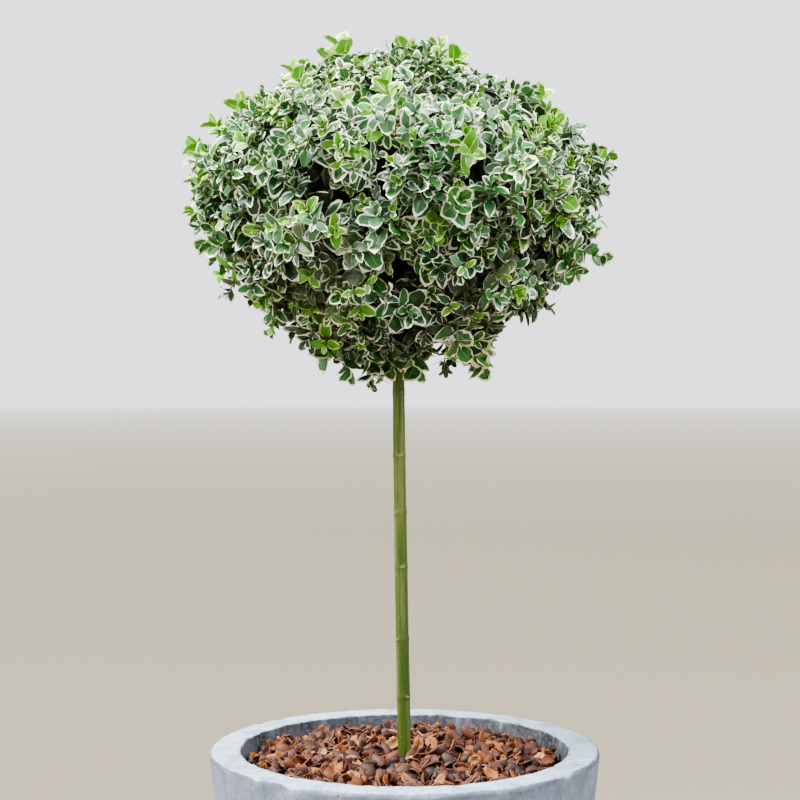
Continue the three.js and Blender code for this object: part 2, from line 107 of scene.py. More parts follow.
# Old leaf scars in opposite pairs: millimetres above the trunk's foot, and the degrees that one faces.
STEM_NODES = [(72, -50), (127, -150), (197, -80), (249, -155), (304, -87), (365, -55), (418, -140)]

CROWN_CENTRE = Vector((-9, 0, 864)) * MM
CROWN_RADIUS = 209 * MM
CROWN_UP = 138 * MM
CROWN_DOWN = 190 * MM
UP_POWER = 1.42
DOWN_POWER = 1.72

# Each tier of masses: its name, count, turn in degrees, place of the centre (out, rise), fork drop and
# step, the boughs' sag and the height of their tips.
TIERS = [
    ("top", 1, 0, 0, 0.6, 0, 0, 0, -12 * MM),
    ("upper", 5, 90, 0.55, 0.33, 15 * MM, 8 * MM, 0.16, 8 * MM),
    ("lower", 6, 60, 0.56, -0.34, 34 * MM, 9 * MM, 0.12, -78 * MM),
]
# How far from a bough's tip to its mass's centre the twigs part.
HUB = 0.6
HEART_RADIUS = 58 * MM
BOUGH_RADIUS = (3.4 * MM, 2.3 * MM)

# Each kind of shoot: how many, the levels that their tips lie between, and their spiral's turn and squash.
SQUASH = 0.7
MAIN_SHOOTS = (102, 0.86, 0.93)
SPRAYS = (290, 0.84, 0.99, 1.0, SQUASH)
TUFTS = (1400, 0.80, 1.0, 3.0, SQUASH)
INNER_SHOOTS = (460, 0.25, 0.78, 2.0)
STRAY_SHOOTS = (26, 0.99, 1.05, 0.4)
# The radii of each kind of shoot, where it starts and at its tip.
FORK_RADIUS = (2.1 * MM, 1.7 * MM)
MAIN_RADIUS = (1.6 * MM, 0.8 * MM)
STRAY_RADIUS = (1.3 * MM, 0.7 * MM)
FINE_RADIUS = (1.2 * MM, 0.6 * MM)
TWIG_RINGS = 6
TWIG_SIDES = 5
TRUNK_RINGS = 420
TRUNK_SIDES = 36
BOUGH_RINGS = 20
BOUGH_SIDES = 12
FORK_SHARE = 0.25
SHOOTS_PER_FORK = 3
# How far a main shoot's tip stays inside the solids' box, and the last stretch in which it turns outward.
TIP_MARGIN = 9 * MM
TIP_STRETCH = 22 * MM
# How far below its nearest place on a main shoot a finer one starts.
FINE_REACH = 30 * MM
STRAY_REACH = 40 * MM
# The tips of the shoots that widen the crown at its two flanks.
FLANK_SHOOTS = [
    Vector(tip) * MM
    for tip in (
        (-197, -30, 894),
        (-202, -8, 866),
        (-190, -44, 846),
        (194, -20, 888),
    )
]
# The tips of the strong shoots that stand out of the crown on top and hang below it.
LEADERS = [
    Vector(tip) * MM
    for tip in (
        (-62, -12, 992),
        (0, 14, 992),
        (48, -8, 980),
        (125, -20, 942),
        (-154, -24, 932),
        (-34, -34, 694),
        (66, -40, 702),
        (70, -34, 689),
        (-74, -30, 700),
        (-16, -22, 690),
        (10, -24, 688),
        (-6, 24, 692),
    )
]
LEAF_LENGTH = 27 * MM
LEAST_LEAF = 8 * MM
LEAF_SHAPES = 30
BROAD_LEAF = np.array([1, 1.35, 1])
YOUNG_SHARE = 0.2
BUD_SHARE = 0.38
# The pairs of leaves on a main shoot, and how far apart they are.
MAIN_PAIRS = 4
MAIN_SPACING = 11 * MM
# How steeply a shoot's top pair of leaves stands, and how much of that its lowest pair loses, in degrees.
LEAF_LIFT = 58
LIFT_LOSS = 52
# The same for a leader: the lift of its top pair, what each pair below loses, and their places.
LEADER_PAIRS = 4
LEADER_LIFT = 62
LEADER_LOSS = 13
LEADER_TOP = 3 * MM
LEADER_SPACING = 9 * MM
PATCH_SHARE = 0.25
MIDRIB = 0.055
# How far leaves may reach, low in the crown and on top of it.
MOST_LEVEL = (1.06, 1.01)
# Where the crown's lumps and its dark gaps fall.
LUMP_SEED = Vector((38.2, 2.0, 8.7))
GAP_SEED = Vector((45.2, 47.3, 16.3))

# The lens and the sensor's width in millimetres, and the angle that the camera looks down, in degrees.
LENS = 73.1
SENSOR = 36
EYE = (-4.4 * MM, -1564 * MM, 665.8 * MM)
LOOK_DOWN = 0.37
FLOOR_REACH = 60
LIGHT_AIM = (0, 0, 0.8)
SKY_STRENGTH = 0.54
WALL_STRENGTH = 1.6
WARM_LIGHT = (1, 0.985, 0.95)
COOL_LIGHT = (0.95, 0.97, 1)


def between(low, high):
    return random.uniform(low, high)


def sprinkle(size=1.0):
    """A random vector, as a rule shorter than size."""
    return Vector(random.normal(0, 0.5 * size, 3))


# ---- Materials ----

# Three shades of one finish, each with its place on the pattern that it follows.
CEMENT_WALL = [(0.36, (0.110, 0.133, 0.178)), (0.5, (0.170, 0.199, 0.255)), (0.64, (0.246, 0.288, 0.355))]
# The rim's shades are painted light: its flat top is made paler where light from above falls on it.
CEMENT_LIT_RIM = [(0.34, (0.14, 0.19, 0.24)), (0.47, (0.295, 0.385, 0.465)), (0.64, (0.425, 0.53, 0.61))]
OLD_BARK = [(0.35, (0.020, 0.048, 0.002)), (0.5, (0.047, 0.080, 0.004)), (0.68, (0.077, 0.101, 0.011))]
# The younger upper stem, lighter also as painted light against the crown's shadow.
YOUNG_AND_LIT_BARK = [(0.35, (0.052, 0.101, 0.005)), (0.5, (0.101, 0.154, 0.011)), (0.68, (0.147, 0.182, 0.028))]
BARK_RIBS = [(0.4, (0.100, 0.126, 0.030)), (0.55, (0.13, 0.142, 0.048)), (0.66, (0.15, 0.125, 0.08))]
BOUGH_BARK = [(0.35, (0.05, 0.045, 0.02)), (0.6, (0.13, 0.12, 0.05)), (0.75, (0.2, 0.19, 0.1))]
FLOOR_SHADES = [(0.1, (0.178, 0.156, 0.113)), (0.9, (0.34, 0.33, 0.32))]
# The marks on the cement, of which the edge's and the pits' are painted shade, and those on the green stem.
EDGE_SHADE = (0.075, 0.088, 0.115, 1)
GRAIN = (0.15, 0.16, 0.20, 1)
SPECKS = (0.05, 0.055, 0.075, 1)
PIT_SHADE = (0.035, 0.035, 0.05, 1)
RUST = (0.165, 0.12, 0.105, 1)
DARK_STREAKS = (0.026, 0.068, 0.003, 1)
FRECKLES = (0.30, 0.30, 0.13, 1)
SCARS = (0.27, 0.20, 0.075, 1)


def shader_of(material):
    return material.node_tree.nodes["Principled BSDF"]


def new_material(name, colour=(0.5, 0.5, 0.5), roughness=0.6):
    """A Principled material with plain values, to which a pattern may be added."""
    material = bpy.data.materials.new(name)
    material.use_nodes = True
    shader = shader_of(material)
    shader.inputs["Base Color"].default_value = (*colour, 1)
    shader.inputs["Roughness"].default_value = roughness
    return material


def add_node(material, kind, **inputs):
    node = material.node_tree.nodes.new(kind)
    for socket, value in inputs.items():
        node.inputs[socket.replace("_", " ")].default_value = value
    return node


def link(material, output, target):
    material.node_tree.links.new(output, target)


def paint(material, colour):
    """Gives the material a pattern for its colour."""
    link(material, colour, shader_of(material).inputs["Base Color"])


def read_attribute(material, name, output="Fac"):
    node = add_node(material, "ShaderNodeAttribute")
    node.attribute_name = name
    return node.outputs[output]


def place_on_piece(material, scale=(1, 1, 1)):
    """Object coordinates, stretched by scale."""
    where = add_node(material, "ShaderNodeTexCoord")
    mapping = add_node(material, "ShaderNodeMapping", Scale=scale)
    link(material, where.outputs["Object"], mapping.inputs["Vector"])
    return mapping.outputs["Vector"]


def noise_pattern(material, place, scale, detail=6, roughness=0.55):
    node = add_node(material, "ShaderNodeTexNoise", Scale=scale, Detail=detail, Roughness=roughness)
    link(material, place, node.inputs["Vector"])
    return node.outputs["Fac"]


def ramp(material, value, stops):
    """Turns a value into a colour. stops are (position, colour) pairs."""
    node = add_node(material, "ShaderNodeValToRGB")
    node.color_ramp.elements[0].position = stops[0][0]
    node.color_ramp.elements[1].position = stops[-1][0]
    for position, _ in stops[1:-1]:
        node.color_ramp.elements.new(position)
    for element, (_, colour) in zip(node.color_ramp.elements, stops):
        element.color = (*colour, 1)
    link(material, value, node.inputs["Fac"])
    return node.outputs["Color"]


def mix(material, share, first, second, blend="MIX"):
    node = add_node(material, "ShaderNodeMix")
    node.data_type = "RGBA"
    node.blend_type = blend
    for value, socket in ((share, node.inputs[0]), (first, node.inputs[6]), (second, node.inputs[7])):
        if isinstance(value, bpy.types.NodeSocket):
            link(material, value, socket)
        else:
            socket.default_value = value
    return node.outputs[2]


def lay_marks(material, colour, pattern, full, none, strength, shade):
    """Marks of one shade on a colour, at their strength where the pattern is full, and gone where it is
    none."""
    stops = sorted([(full, (strength,) * 3), (none, (0, 0, 0))])
    return mix(material, ramp(material, pattern, stops), colour, shade)


def add_bump(material, height, strength, distance):
    node = add_node(material, "ShaderNodeBump", Strength=strength, Distance=distance)
    link(material, height, node.inputs["Height"])
    shader = shader_of(material)
    if shader.inputs["Normal"].is_linked:
        link(material, shader.inputs["Normal"].links[0].from_socket, node.inputs["Normal"])
    link(material, node.outputs["Normal"], shader.inputs["Normal"])


def leaf_material(name, colour, roughness):
    """Leaf tissue: one plain colour, waxy, with a fine uneven surface."""
    material = new_material(name, colour, roughness)
    place = place_on_piece(material)
    add_bump(material, noise_pattern(material, place, 420, detail=2), 0.25, 0.4 * MM)
    return material


def husk_material(name, colour):
    material = new_material(name, colour, 0.68)
    place = place_on_piece(material)
    add_bump(material, noise_pattern(material, place, 700, detail=4), 0.5, 0.5 * MM)
    return material


def mould_seam(material):
    """The share of a hairline seam that the two halves of a mould leave, broken here and there."""
    where = add_node(material, "ShaderNodeTexCoord")
    turn = add_node(material, "ShaderNodeMapping", Rotation=(0, 0, math.radians(137.4)))
    link(material, where.outputs["Object"], turn.inputs["Vector"])
    split = add_node(material, "ShaderNodeSeparateXYZ")
    link(material, turn.outputs["Vector"], split.inputs["Vector"])
    away = add_node(material, "ShaderNodeMath")
    away.operation = "ABSOLUTE"
    link(material, split.outputs["Y"], away.inputs[0])
    line = ramp(material, away.outputs["Value"], [(0.0003, (1, 1, 1)), (0.0009, (0, 0, 0))])
    gaps = noise_pattern(material, where.outputs["Object"], 60)
    breaks = ramp(material, gaps, [(0.42, (0, 0, 0)), (0.55, (0.8, 0.8, 0.8))])
    return mix(material, 1.0, line, breaks, "MULTIPLY")


def cement_material():
    """Pale cast cement: cloudy, flecked and pitted, with painted light on the rim's top and painted shade
    inside.
    """
    material = new_material("cast_cement", roughness=0.86)
    place = place_on_piece(material)
    clouds = noise_pattern(material, place, 28, detail=10, roughness=0.78)
    wall = ramp(material, clouds, CEMENT_WALL)
    pale = ramp(material, clouds, CEMENT_LIT_RIM)
    # Painted shade: the inner wall is made far darker, as it lies in shade.
    inside = ramp(material, clouds, [(0.4, (0.019, 0.019, 0.022)), (0.6, (0.095, 0.095, 0.108))])
    split = add_node(material, "ShaderNodeSeparateColor")
    link(material, read_attribute(material, "zone", "Color"), split.inputs["Color"])
    # Painted shade in patches on the rim's rounded outer edge.
    colour = mix(material, split.outputs["Blue"], wall, EDGE_SHADE)
    # Painted light on the rim's flat top.
    colour = mix(material, split.outputs["Red"], colour, pale)
    colour = mix(material, split.outputs["Green"], colour, inside)
    grain = noise_pattern(material, place, 230, detail=6, roughness=0.75)
    colour = lay_marks(material, colour, grain, 0.36, 0.49, 0.85, GRAIN)
    upright = place_on_piece(material, (1, 1, 0.6))
    specks = noise_pattern(material, upright, 420, detail=3, roughness=0.6)
    colour = lay_marks(material, colour, specks, 0.33, 0.385, 0.75, SPECKS)
    pits = add_node(material, "ShaderNodeTexVoronoi", Scale=80, Randomness=1)
    link(material, upright, pits.inputs["Vector"])
    near_pit = add_node(material, "ShaderNodeMath")
    near_pit.operation = "MULTIPLY_ADD"
    link(material, noise_pattern(material, place, 36, detail=3), near_pit.inputs[0])
    near_pit.inputs[1].default_value = 0.5
    link(material, pits.outputs["Distance"], near_pit.inputs[2])
    # Painted shade in the bubble pits, which a bump also dents.
    colour = lay_marks(material, colour, near_pit.outputs["Value"], 0.25, 0.295, 0.9, PIT_SHADE)
    on_wall = ramp(material, split.outputs["Red"], [(0.2, (1, 1, 1)), (0.8, (0, 0, 0))])
    seam = mix(material, 1.0, mould_seam(material), on_wall, "MULTIPLY")
    colour = mix(material, seam, colour, RUST)
    paint(material, colour)
    add_bump(material, noise_pattern(material, place, 150, detail=8, roughness=0.7), 0.35, 0.8 * MM)
    dent = ramp(material, near_pit.outputs["Value"], [(0.22, (0, 0, 0)), (0.32, (1, 1, 1))])
    add_bump(material, dent, 0.9, 1.4 * MM)
    return material


def stem_material():
    """Young green bark in long streaks, lighter up the stem, with paler ribs and tan scars where leaves
    were.
    """
    material = new_material("green_bark", roughness=0.46)
    place = place_on_piece(material, (1, 1, 0.05))
    streaks = noise_pattern(material, place, 420, detail=5, roughness=0.6)
    green = ramp(material, streaks, OLD_BARK)
    young = ramp(material, streaks, YOUNG_AND_LIT_BARK)
    height = add_node(material, "ShaderNodeSeparateXYZ")
    link(material, place_on_piece(material), height.inputs["Vector"])
    broad = noise_pattern(material, place, 130, detail=2)
    # Lighter up the stem: partly younger bark, partly painted light against the crown's shadow.
    age_and_light = ramp(material, height.outputs["Z"], [(0.42, (0, 0, 0)), (0.72, (1, 1, 1))])
    green = mix(material, age_and_light, green, young)
    green = lay_marks(material, green, broad, 0.42, 0.54, 0.8, DARK_STREAKS)
    rib = ramp(material, streaks, BARK_RIBS)
    colour = lay_marks(material, green, read_attribute(material, "rib"), 1, 0.15, 0.85, rib)
    freckles = noise_pattern(material, place_on_piece(material, (1, 1, 0.5)), 900, detail=2)
    colour = lay_marks(material, colour, freckles, 0.72, 0.66, 0.75, FRECKLES)
    colour = lay_marks(material, colour, read_attribute(material, "scar"), 0.85, 0.3, 1, SCARS)
    paint(material, colour)
    add_bump(material, streaks, 0.5, 0.5 * MM)
    return material


def bough_material():
    material = new_material("bough_bark", roughness=0.6)
    place = place_on_piece(material, (1, 1, 0.3))
    streaks = noise_pattern(material, place, 260, detail=6)
    colour = ramp(material, streaks, BOUGH_BARK)
    paint(material, colour)
    add_bump(material, streaks, 0.5, 0.5 * MM)
    return material


def soil_material():
    material = new_material("potting_mix", roughness=0.95)
    crumbs = noise_pattern(material, place_on_piece(material), 160, detail=8, roughness=0.7)
    colour = ramp(material, crumbs, [(0.35, (0.012, 0.009, 0.006)), (0.65, (0.06, 0.04, 0.025))])
    paint(material, colour)
    add_bump(material, crumbs, 0.8, 2 * MM)
    return material


# ---- Meshes and pieces ----


def finish_piece(obj, slot, *nodes):
    """Puts a new piece in its place on the part: it rides on the one body and stands for these nodes."""
    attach(obj, "root")
    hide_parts(*nodes)


def add_object(name, data):
    obj = bpy.data.objects.new(name, data)
    bpy.context.scene.collection.objects.link(obj)
    return obj


def piece_from_bmesh(name, bm, materials, smooth=True):
    mesh = bpy.data.meshes.new(name)
    bm.to_mesh(mesh)
    bm.free()
    for material in materials:
        mesh.materials.append(material)
    mesh.polygons.foreach_set("use_smooth", [smooth] * len(mesh.polygons))
    return add_object(name, mesh)


def arrays_of(bm):
    """A shape's points (n, 3) and its four-cornered faces (m, 4), for joining many copies of it."""
    bm.verts.index_update()
    points = np.array([vert.co for vert in bm.verts])
    quads = np.array([[vert.index for vert in face.verts] for face in bm.faces])
    bm.free()
    return points, quads


def piece_from_arrays(name, shapes, materials):
    """A joined mesh from a list of shapes. Each has its points, its four-cornered faces, and the number
    of a material for each face."""
    points, quads, kinds = (np.concatenate(arrays) for arrays in zip(*shapes))
    counts = [len(shape_points) for shape_points, _, _ in shapes]
    firsts = np.cumsum(counts) - counts
    quads = quads + np.repeat(firsts, [len(shape_quads) for _, shape_quads, _ in shapes])[:, None]
    mesh = bpy.data.meshes.new(name)
    mesh.vertices.add(len(points))
    mesh.vertices.foreach_set("co", points.astype(np.float32).ravel())
    mesh.loops.add(quads.size)
    mesh.loops.foreach_set("vertex_index", quads.astype(np.int32).ravel())
    mesh.polygons.add(len(quads))
    mesh.polygons.foreach_set("loop_start", np.arange(0, quads.size, 4, dtype=np.int32))
    mesh.polygons.foreach_set("material_index", kinds.astype(np.int32))
    mesh.polygons.foreach_set("use_smooth", np.full(len(quads), True))
    for material in materials:
        mesh.materials.append(material)
    mesh.update(calc_edges=True)
    return add_object(name, mesh)


def lathe(profile, steps, ring=False):
    """A shell of revolution about Z. profile has (radius, height) points. A closed shell's profile starts
    and ends on the axis, and a ring's closes on itself."""
    bm = bmesh.new()
    points = [bm.verts.new((radius, 0, height)) for radius, height in profile]
    following = points[1:] + points[:1] if ring else points[1:]
    edges = [bm.edges.new(pair) for pair in zip(points, following)]
    bmesh.ops.spin(
        bm,
        geom=points + edges,
        axis=(0, 0, 1),
        cent=(0, 0, 0),
        angle=math.tau,
        steps=steps,
        use_merge=True,
    )
    bmesh.ops.remove_doubles(bm, verts=bm.verts, dist=0.01 * MM)
    bmesh.ops.recalc_face_normals(bm, faces=bm.faces)
    return bm


def rounded(centre, radius, start, end, steps):
    """A rounded corner of a lathe's profile, between two angles in degrees."""
    angles = np.radians(np.linspace(start, end, steps + 1))
    return [(centre[0] + radius * math.cos(a), centre[1] + radius * math.sin(a)) for a in angles]


def stretch(start, end, steps):
    """Evenly spaced points between two points of a profile, without its ends."""
    return [tuple(np.array(start) + (np.array(end) - start) * i / steps) for i in range(1, steps)]


def quadratic(start, middle, end):
    """A curve from start to end that is drawn towards middle."""
    return lambda t: start * (1 - t) ** 2 + middle * 2 * t * (1 - t) + end * t**2


def smoothstep(low, high, value):
    t = min(1, max(0, (value - low) / (high - low)))
    return t * t * (3 - 2 * t)


# ---- Planter ----


def planter_inner_radius(z):
    share = (z - FLOOR_THICKNESS) / (RIM_HEIGHT - FLOOR_THICKNESS)
    return (FOOT_RADIUS - FOOT_WALL) * (1 - share) + (RIM_RADIUS - RIM_WIDTH) * share


def planter_profile():
    slope = (RIM_RADIUS - FOOT_RADIUS) / RIM_HEIGHT
    foot = rounded((FOOT_RADIUS - FOOT_EDGE, FOOT_EDGE), FOOT_EDGE, -90, 0, 4)
    outer_centre = RIM_RADIUS - OUTER_EDGE * (1 + slope)
    outer = rounded((outer_centre, RIM_HEIGHT - OUTER_EDGE), OUTER_EDGE, 0, 90, 9)
    inner_centre = RIM_RADIUS - RIM_WIDTH + INNER_EDGE
    inner = rounded((inner_centre, RIM_HEIGHT - INNER_EDGE), INNER_EDGE, 90, 180, 5)
    inner_foot = (FOOT_RADIUS - FOOT_WALL, FLOOR_THICKNESS)
    below_rim = (outer[0][0] - slope * 12 * MM, outer[0][1] - 12 * MM)
    return [
        (0, 0),
        *stretch((0, 0), foot[0], 6),
        *foot,
        *stretch(foot[-1], below_rim, 54),
        *stretch(below_rim, outer[0], 8),
        *outer,
        *stretch(outer[-1], inner[0], 8),
        *inner,
        *stretch(inner[-1], inner_foot, 24),
        inner_foot,
        (0, FLOOR_THICKNESS),
    ]


def weather_planter(bm):
    """A hand-cast surface: a slow waver all over, and chips along the rim's two edges."""
    for vert in bm.verts:
        radius = math.hypot(vert.co.x, vert.co.y)
        if vert.co.z < FOOT_EDGE or radius < 1 * MM:
            continue
        outward = Vector((vert.co.x, vert.co.y, 0)) / radius
        waver = WAVER * noise.noise(vert.co * 22)
        vert.co += outward * (waver - WAVER)
        near_rim = smoothstep(RIM_HEIGHT - 9 * MM, RIM_HEIGHT - 2 * MM, vert.co.z)
        edge = max(0, 1 - abs(radius - (RIM_RADIUS - 2 * MM)) / (5 * MM))
        edge = max(edge, 0.7 * max(0, 1 - abs(radius - (RIM_RADIUS - RIM_WIDTH + 1 * MM)) / (4 * MM)))
        chip = max(0, noise.noise(vert.co * 80) - CHIP_LEVEL)
        chip += 0.5 * max(0, noise.noise(vert.co * 230) - CHIP_LEVEL)
        depth = near_rim * edge * chip * CHIP_DEPTH
        vert.co -= outward * depth * 0.7
        vert.co.z -= depth
        vert.co.z += 0.3 * MM * near_rim * (noise.noise(vert.co * 60) - 0.6)


def colour_planter_zones(obj):
    """Painted light and shade: red lightens the rim's top, green darkens the inner wall and blue the outer
    edge.
    """
    zone = obj.data.color_attributes.new("zone", "FLOAT_COLOR", "POINT")
    values = np.zeros((len(obj.data.vertices), 4), np.float32)
    values[:, 3] = 1
    for i, vert in enumerate(obj.data.vertices):
        radius = math.hypot(vert.co.x, vert.co.y)
        ragged = 1.6 * MM * noise.noise(vert.co * 70) + 0.8 * MM * noise.noise(vert.co * 260)
        near_top = vert.co.z > RIM_HEIGHT - 7 * MM
        edge = radius + 0.7 * ragged
        values[i, 0] = near_top * smoothstep(RIM_RADIUS - 2.6 * MM, RIM_RADIUS - 3.6 * MM, edge)
        # Painted shade on the inner wall, from just below the top.
        inner = radius < planter_inner_radius(vert.co.z) + 2.5 * MM and vert.co.z > FLOOR_THICKNESS / 2
        depth = RIM_HEIGHT + ragged - vert.co.z
        values[i, 1] = float(inner) * smoothstep(0.6 * MM, 1.8 * MM, depth)
        # Painted shade, in patches, on the rim's rounded outer edge and just under it.
        edge_shade_share = min(1, max(0, 0.7 + 1.1 * noise.noise(vert.co * 30)))
        values[i, 2] = float(not inner) * edge_shade_share * smoothstep(7 * MM, 2 * MM, depth)
    zone.data.foreach_set("color", values.ravel())


def drill_drains(planter):
    """Cuts the drain holes through the planter's floor."""
    drills = bmesh.new()
    for i in range(DRAINS):
        angle = math.tau * i / DRAINS
        x, y = DRAIN_CIRCLE * math.cos(angle), DRAIN_CIRCLE * math.sin(angle)
        bmesh.ops.create_cone(
            drills,
            cap_ends=True,
            segments=48,
            radius1=DRAIN_RADIUS,
            radius2=DRAIN_RADIUS,
            depth=2 * FLOOR_THICKNESS,
            matrix=Matrix.Translation((x, y, FLOOR_THICKNESS / 2)),
        )
    cutter = piece_from_bmesh("drills", drills, planter.data.materials, smooth=False)
    cut = planter.modifiers.new("drains", "BOOLEAN")
    cut.operation = "DIFFERENCE"
    cut.solver = "EXACT"
    cut.object = cutter
    bpy.context.view_layer.update()
    shaped = planter.evaluated_get(bpy.context.evaluated_depsgraph_get())
    drilled = bpy.data.meshes.new_from_object(shaped)
    planter.modifiers.clear()
    planter.data = drilled
    bpy.data.objects.remove(cutter)


def make_planter():
    bm = lathe(planter_profile(), PLANTER_SIDES)
    weather_planter(bm)
    planter = piece_from_bmesh("cement_planter", bm, [cement_material()])
    drill_drains(planter)
    colour_planter_zones(planter)
    finish_piece(planter, "cement", "planter")


# ---- Mulch ----


def mulch_top(radius):
    share = min(1, radius / planter_inner_radius(mulch_high.z))
    return MULCH_CENTRE_TOP + (MULCH_EDGE_TOP - MULCH_CENTRE_TOP) * share**2


def husk_shape(seed):
    """A broken seed husk of length 1, a curled shell with ragged ends: its points, its faces, and which
    faces are its outside."""
    rng = np.random.default_rng(seed)
    curl = rng.uniform(0.75, 1.5)
    width = rng.uniform(0.45, 0.68)
    bow = rng.uniform(0.02, 0.16)
    bm = bmesh.new()
    bmesh.ops.create_grid(bm, x_segments=5, y_segments=3, size=0.5)
    for vert in bm.verts:
        along, across = 2 * vert.co.x, 2 * vert.co.y
        belly = (1 - 0.62 * abs(along) ** 2.4) * (1 + 0.16 * rng.normal())
        angle = across * curl
        ragged = 1 + 0.06 * rng.normal()
        vert.co.x = 0.5 * along * ragged
        vert.co.y = width * 0.5 * belly * math.sin(angle) / max(0.75, math.sin(curl)) * ragged
        vert.co.z = width * 0.5 * belly * (math.cos(angle) - math.cos(curl)) / max(0.9, math.sin(curl))
        vert.co.z -= bow * along**2
    outer = len(bm.faces)
    bmesh.ops.solidify(bm, geom=bm.faces[:], thickness=0.045)
    points, quads = arrays_of(bm)
    return points, quads, np.arange(len(quads)) < outer


HUSK_OUTSIDES = {
    "husk_red_brown": (0.042, 0.009, 0.003),
    "husk_mauve_brown": (0.068, 0.024, 0.016),
    "husk_grey_brown": (0.048, 0.026, 0.020),
    "husk_dark": (0.008, 0.002, 0.0015),
    "husk_rust": (0.096, 0.023, 0.005),
}
OUTSIDE_SHARES = [0.34, 0.22, 0.10, 0.13, 0.21]
HUSK_INSIDES = {
    "husk_tan": (0.240, 0.080, 0.017),
    "husk_rose": (0.074, 0.022, 0.010),
    "husk_pale": (0.440, 0.235, 0.100),
}
INSIDE_SHARES = [0.46, 0.49, 0.05]


def turned(heading, up):
    """The turn, as a 3 by 3 array, that takes +X to heading and +Z as near to up as may be."""
    x = heading.normalized()
    z = (up - x * up.dot(x)).normalized()
    y = z.cross(x)
    return np.array([[x[i], y[i], z[i]] for i in range(3)])


def make_mulch_bed():
    """A dark sheet under the husks, painted shade that shows between them, with a hole for the stem."""
    hole = TRUNK_RADIUS[0] + 1 * MM
    edge = planter_inner_radius(mulch_low.z) - 0.4 * MM
    floor = mulch_low.z
    top = [(r, mulch_top(r) - BED_DEPTH) for r in np.linspace(edge, hole, 24)]
    bm = lathe([(hole, floor), (edge, floor), *top], 96, ring=True)
    for vert in bm.verts:
        if vert.co.z > floor + 1 * MM:
            vert.co.z += 1.6 * MM * noise.noise(vert.co * 110)
    bed = piece_from_bmesh("mulch_bed", bm, [husk_material("mulch_gap_shade", (0.009, 0.004, 0.003))])
    finish_piece(bed, "husk", "husk_mulch")


def scatter_husks():
    """A turn and a place for every husk, in a list for each of the husks' shapes."""
    spots = [[] for _ in range(HUSK_SHAPES)]
    for count, lift, tilt in HUSK_LAYERS:
        for i in range(count):
            length = between(*HUSK_LENGTH) * (1 if random.random() > SMALL_HUSK_SHARE else 0.6)
            limit = planter_inner_radius(MULCH_EDGE_TOP) - 0.42 * length - 1.5 * MM
            start = TRUNK_RADIUS[0] + 0.3 * length
            radius = start + (limit - start) * math.sqrt((i + random.random()) / count)
            angle = i * GOLDEN_ANGLE + between(-0.3, 0.3)
            place = Vector((radius * math.cos(angle), radius * math.sin(angle), 0))
            place.z = mulch_top(radius) + lift + between(-1.5, 1.5) * MM
            turn = between(0, math.tau)
            heading = Vector((math.cos(turn), math.sin(turn), between(-tilt, tilt)))
            up = Vector((between(-tilt, tilt), between(-tilt, tilt), 1 if random.random() > 0.5 else -1))
            spots[random.integers(HUSK_SHAPES)].append((turned(heading, up) * length, place))
    return spots


def make_husks():
    """The single husks as one joined piece, with a colour outside and another inside for each."""
    husks = []
    for seed, spots in enumerate(scatter_husks()):
        points, quads, is_outside = husk_shape(seed)
        for turn, place in spots:
            outside = random.choice(len(HUSK_OUTSIDES), p=OUTSIDE_SHARES)
            inside = len(HUSK_OUTSIDES) + random.choice(len(HUSK_INSIDES), p=INSIDE_SHARES)
            placed = points @ turn.T + np.array(place)
            husks.append((placed, quads, np.where(is_outside, outside, inside)))
    colours = {**HUSK_OUTSIDES, **HUSK_INSIDES}
    piece = piece_from_arrays("husks", husks, [husk_material(*look) for look in colours.items()])
    finish_piece(piece, "husk", "husk_mulch")


# ---- Trunk and boughs ----

trunk_axis = quadratic(TRUNK_BASE, (TRUNK_BASE + TRUNK_TOP) / 2 + TRUNK_BOW, TRUNK_TOP)
TRUNK_LENGTH = (TRUNK_TOP - TRUNK_BASE).length


def trunk_axis_at(z):
    return trunk_axis((z - TRUNK_BASE.z) / (TRUNK_TOP.z - TRUNK_BASE.z))


def trunk_radius(t):
    height = t * TRUNK_LENGTH
    plain = TRUNK_RADIUS[0] + (TRUNK_RADIUS[1] - TRUNK_RADIUS[0]) * t
    flare = (FLARE_RADIUS - TRUNK_RADIUS[0]) * max(0, 1 - height / FLARE_HEIGHT) ** 2
    bud = sum(0.35 * MM * math.exp(-(((height - node * MM) / (3.5 * MM)) ** 2)) for node, _ in STEM_NODES)
    head = (HEAD_RADIUS - TRUNK_RADIUS[1]) * smoothstep(TRUNK_LENGTH - HEAD_HEIGHT, TRUNK_LENGTH, height)
    return plain + flare + bud + head


def bend_along(bm, axis, radius_at):
    """Takes a cylinder of radius 1 and height 1 to a limb. Its height runs along axis(t), and its radius
    there is radius_at(t, angle)."""
    for vert in bm.verts:
        t = min(1, max(0, vert.co.z))
        share = math.hypot(vert.co.x, vert.co.y)
        angle = math.atan2(vert.co.y, vert.co.x)
        tangent = (axis(min(1, t + 0.01)) - axis(max(0, t - 0.01))).normalized()
        side = (Vector((1, 0, 0)) - tangent * tangent.x).normalized()
        other = tangent.cross(side)
        radius = share * radius_at(t, angle)
        vert.co = axis(t) + side * radius * math.cos(angle) + other * radius * math.sin(angle)


def unit_limb(rings, sides):
    """A closed cylinder of radius 1 and height 1."""
    return lathe([(0, 0), *((1, i / rings) for i in range(rings + 1)), (0, 1)], sides)


def scar_at(t, angle):
    """1 in the middle of a leaf scar and 0 away from it."""
    near = 0
    for height, facing in STEM_NODES:
        turn = (angle - math.radians(facing) + math.pi / 2) % math.pi - math.pi / 2
        up = t * TRUNK_LENGTH - height * MM - 1.6 * MM * turn**2
        near = max(near, math.exp(-((turn / 0.42) ** 2) - (up / (1.2 * MM)) ** 2))
    return near


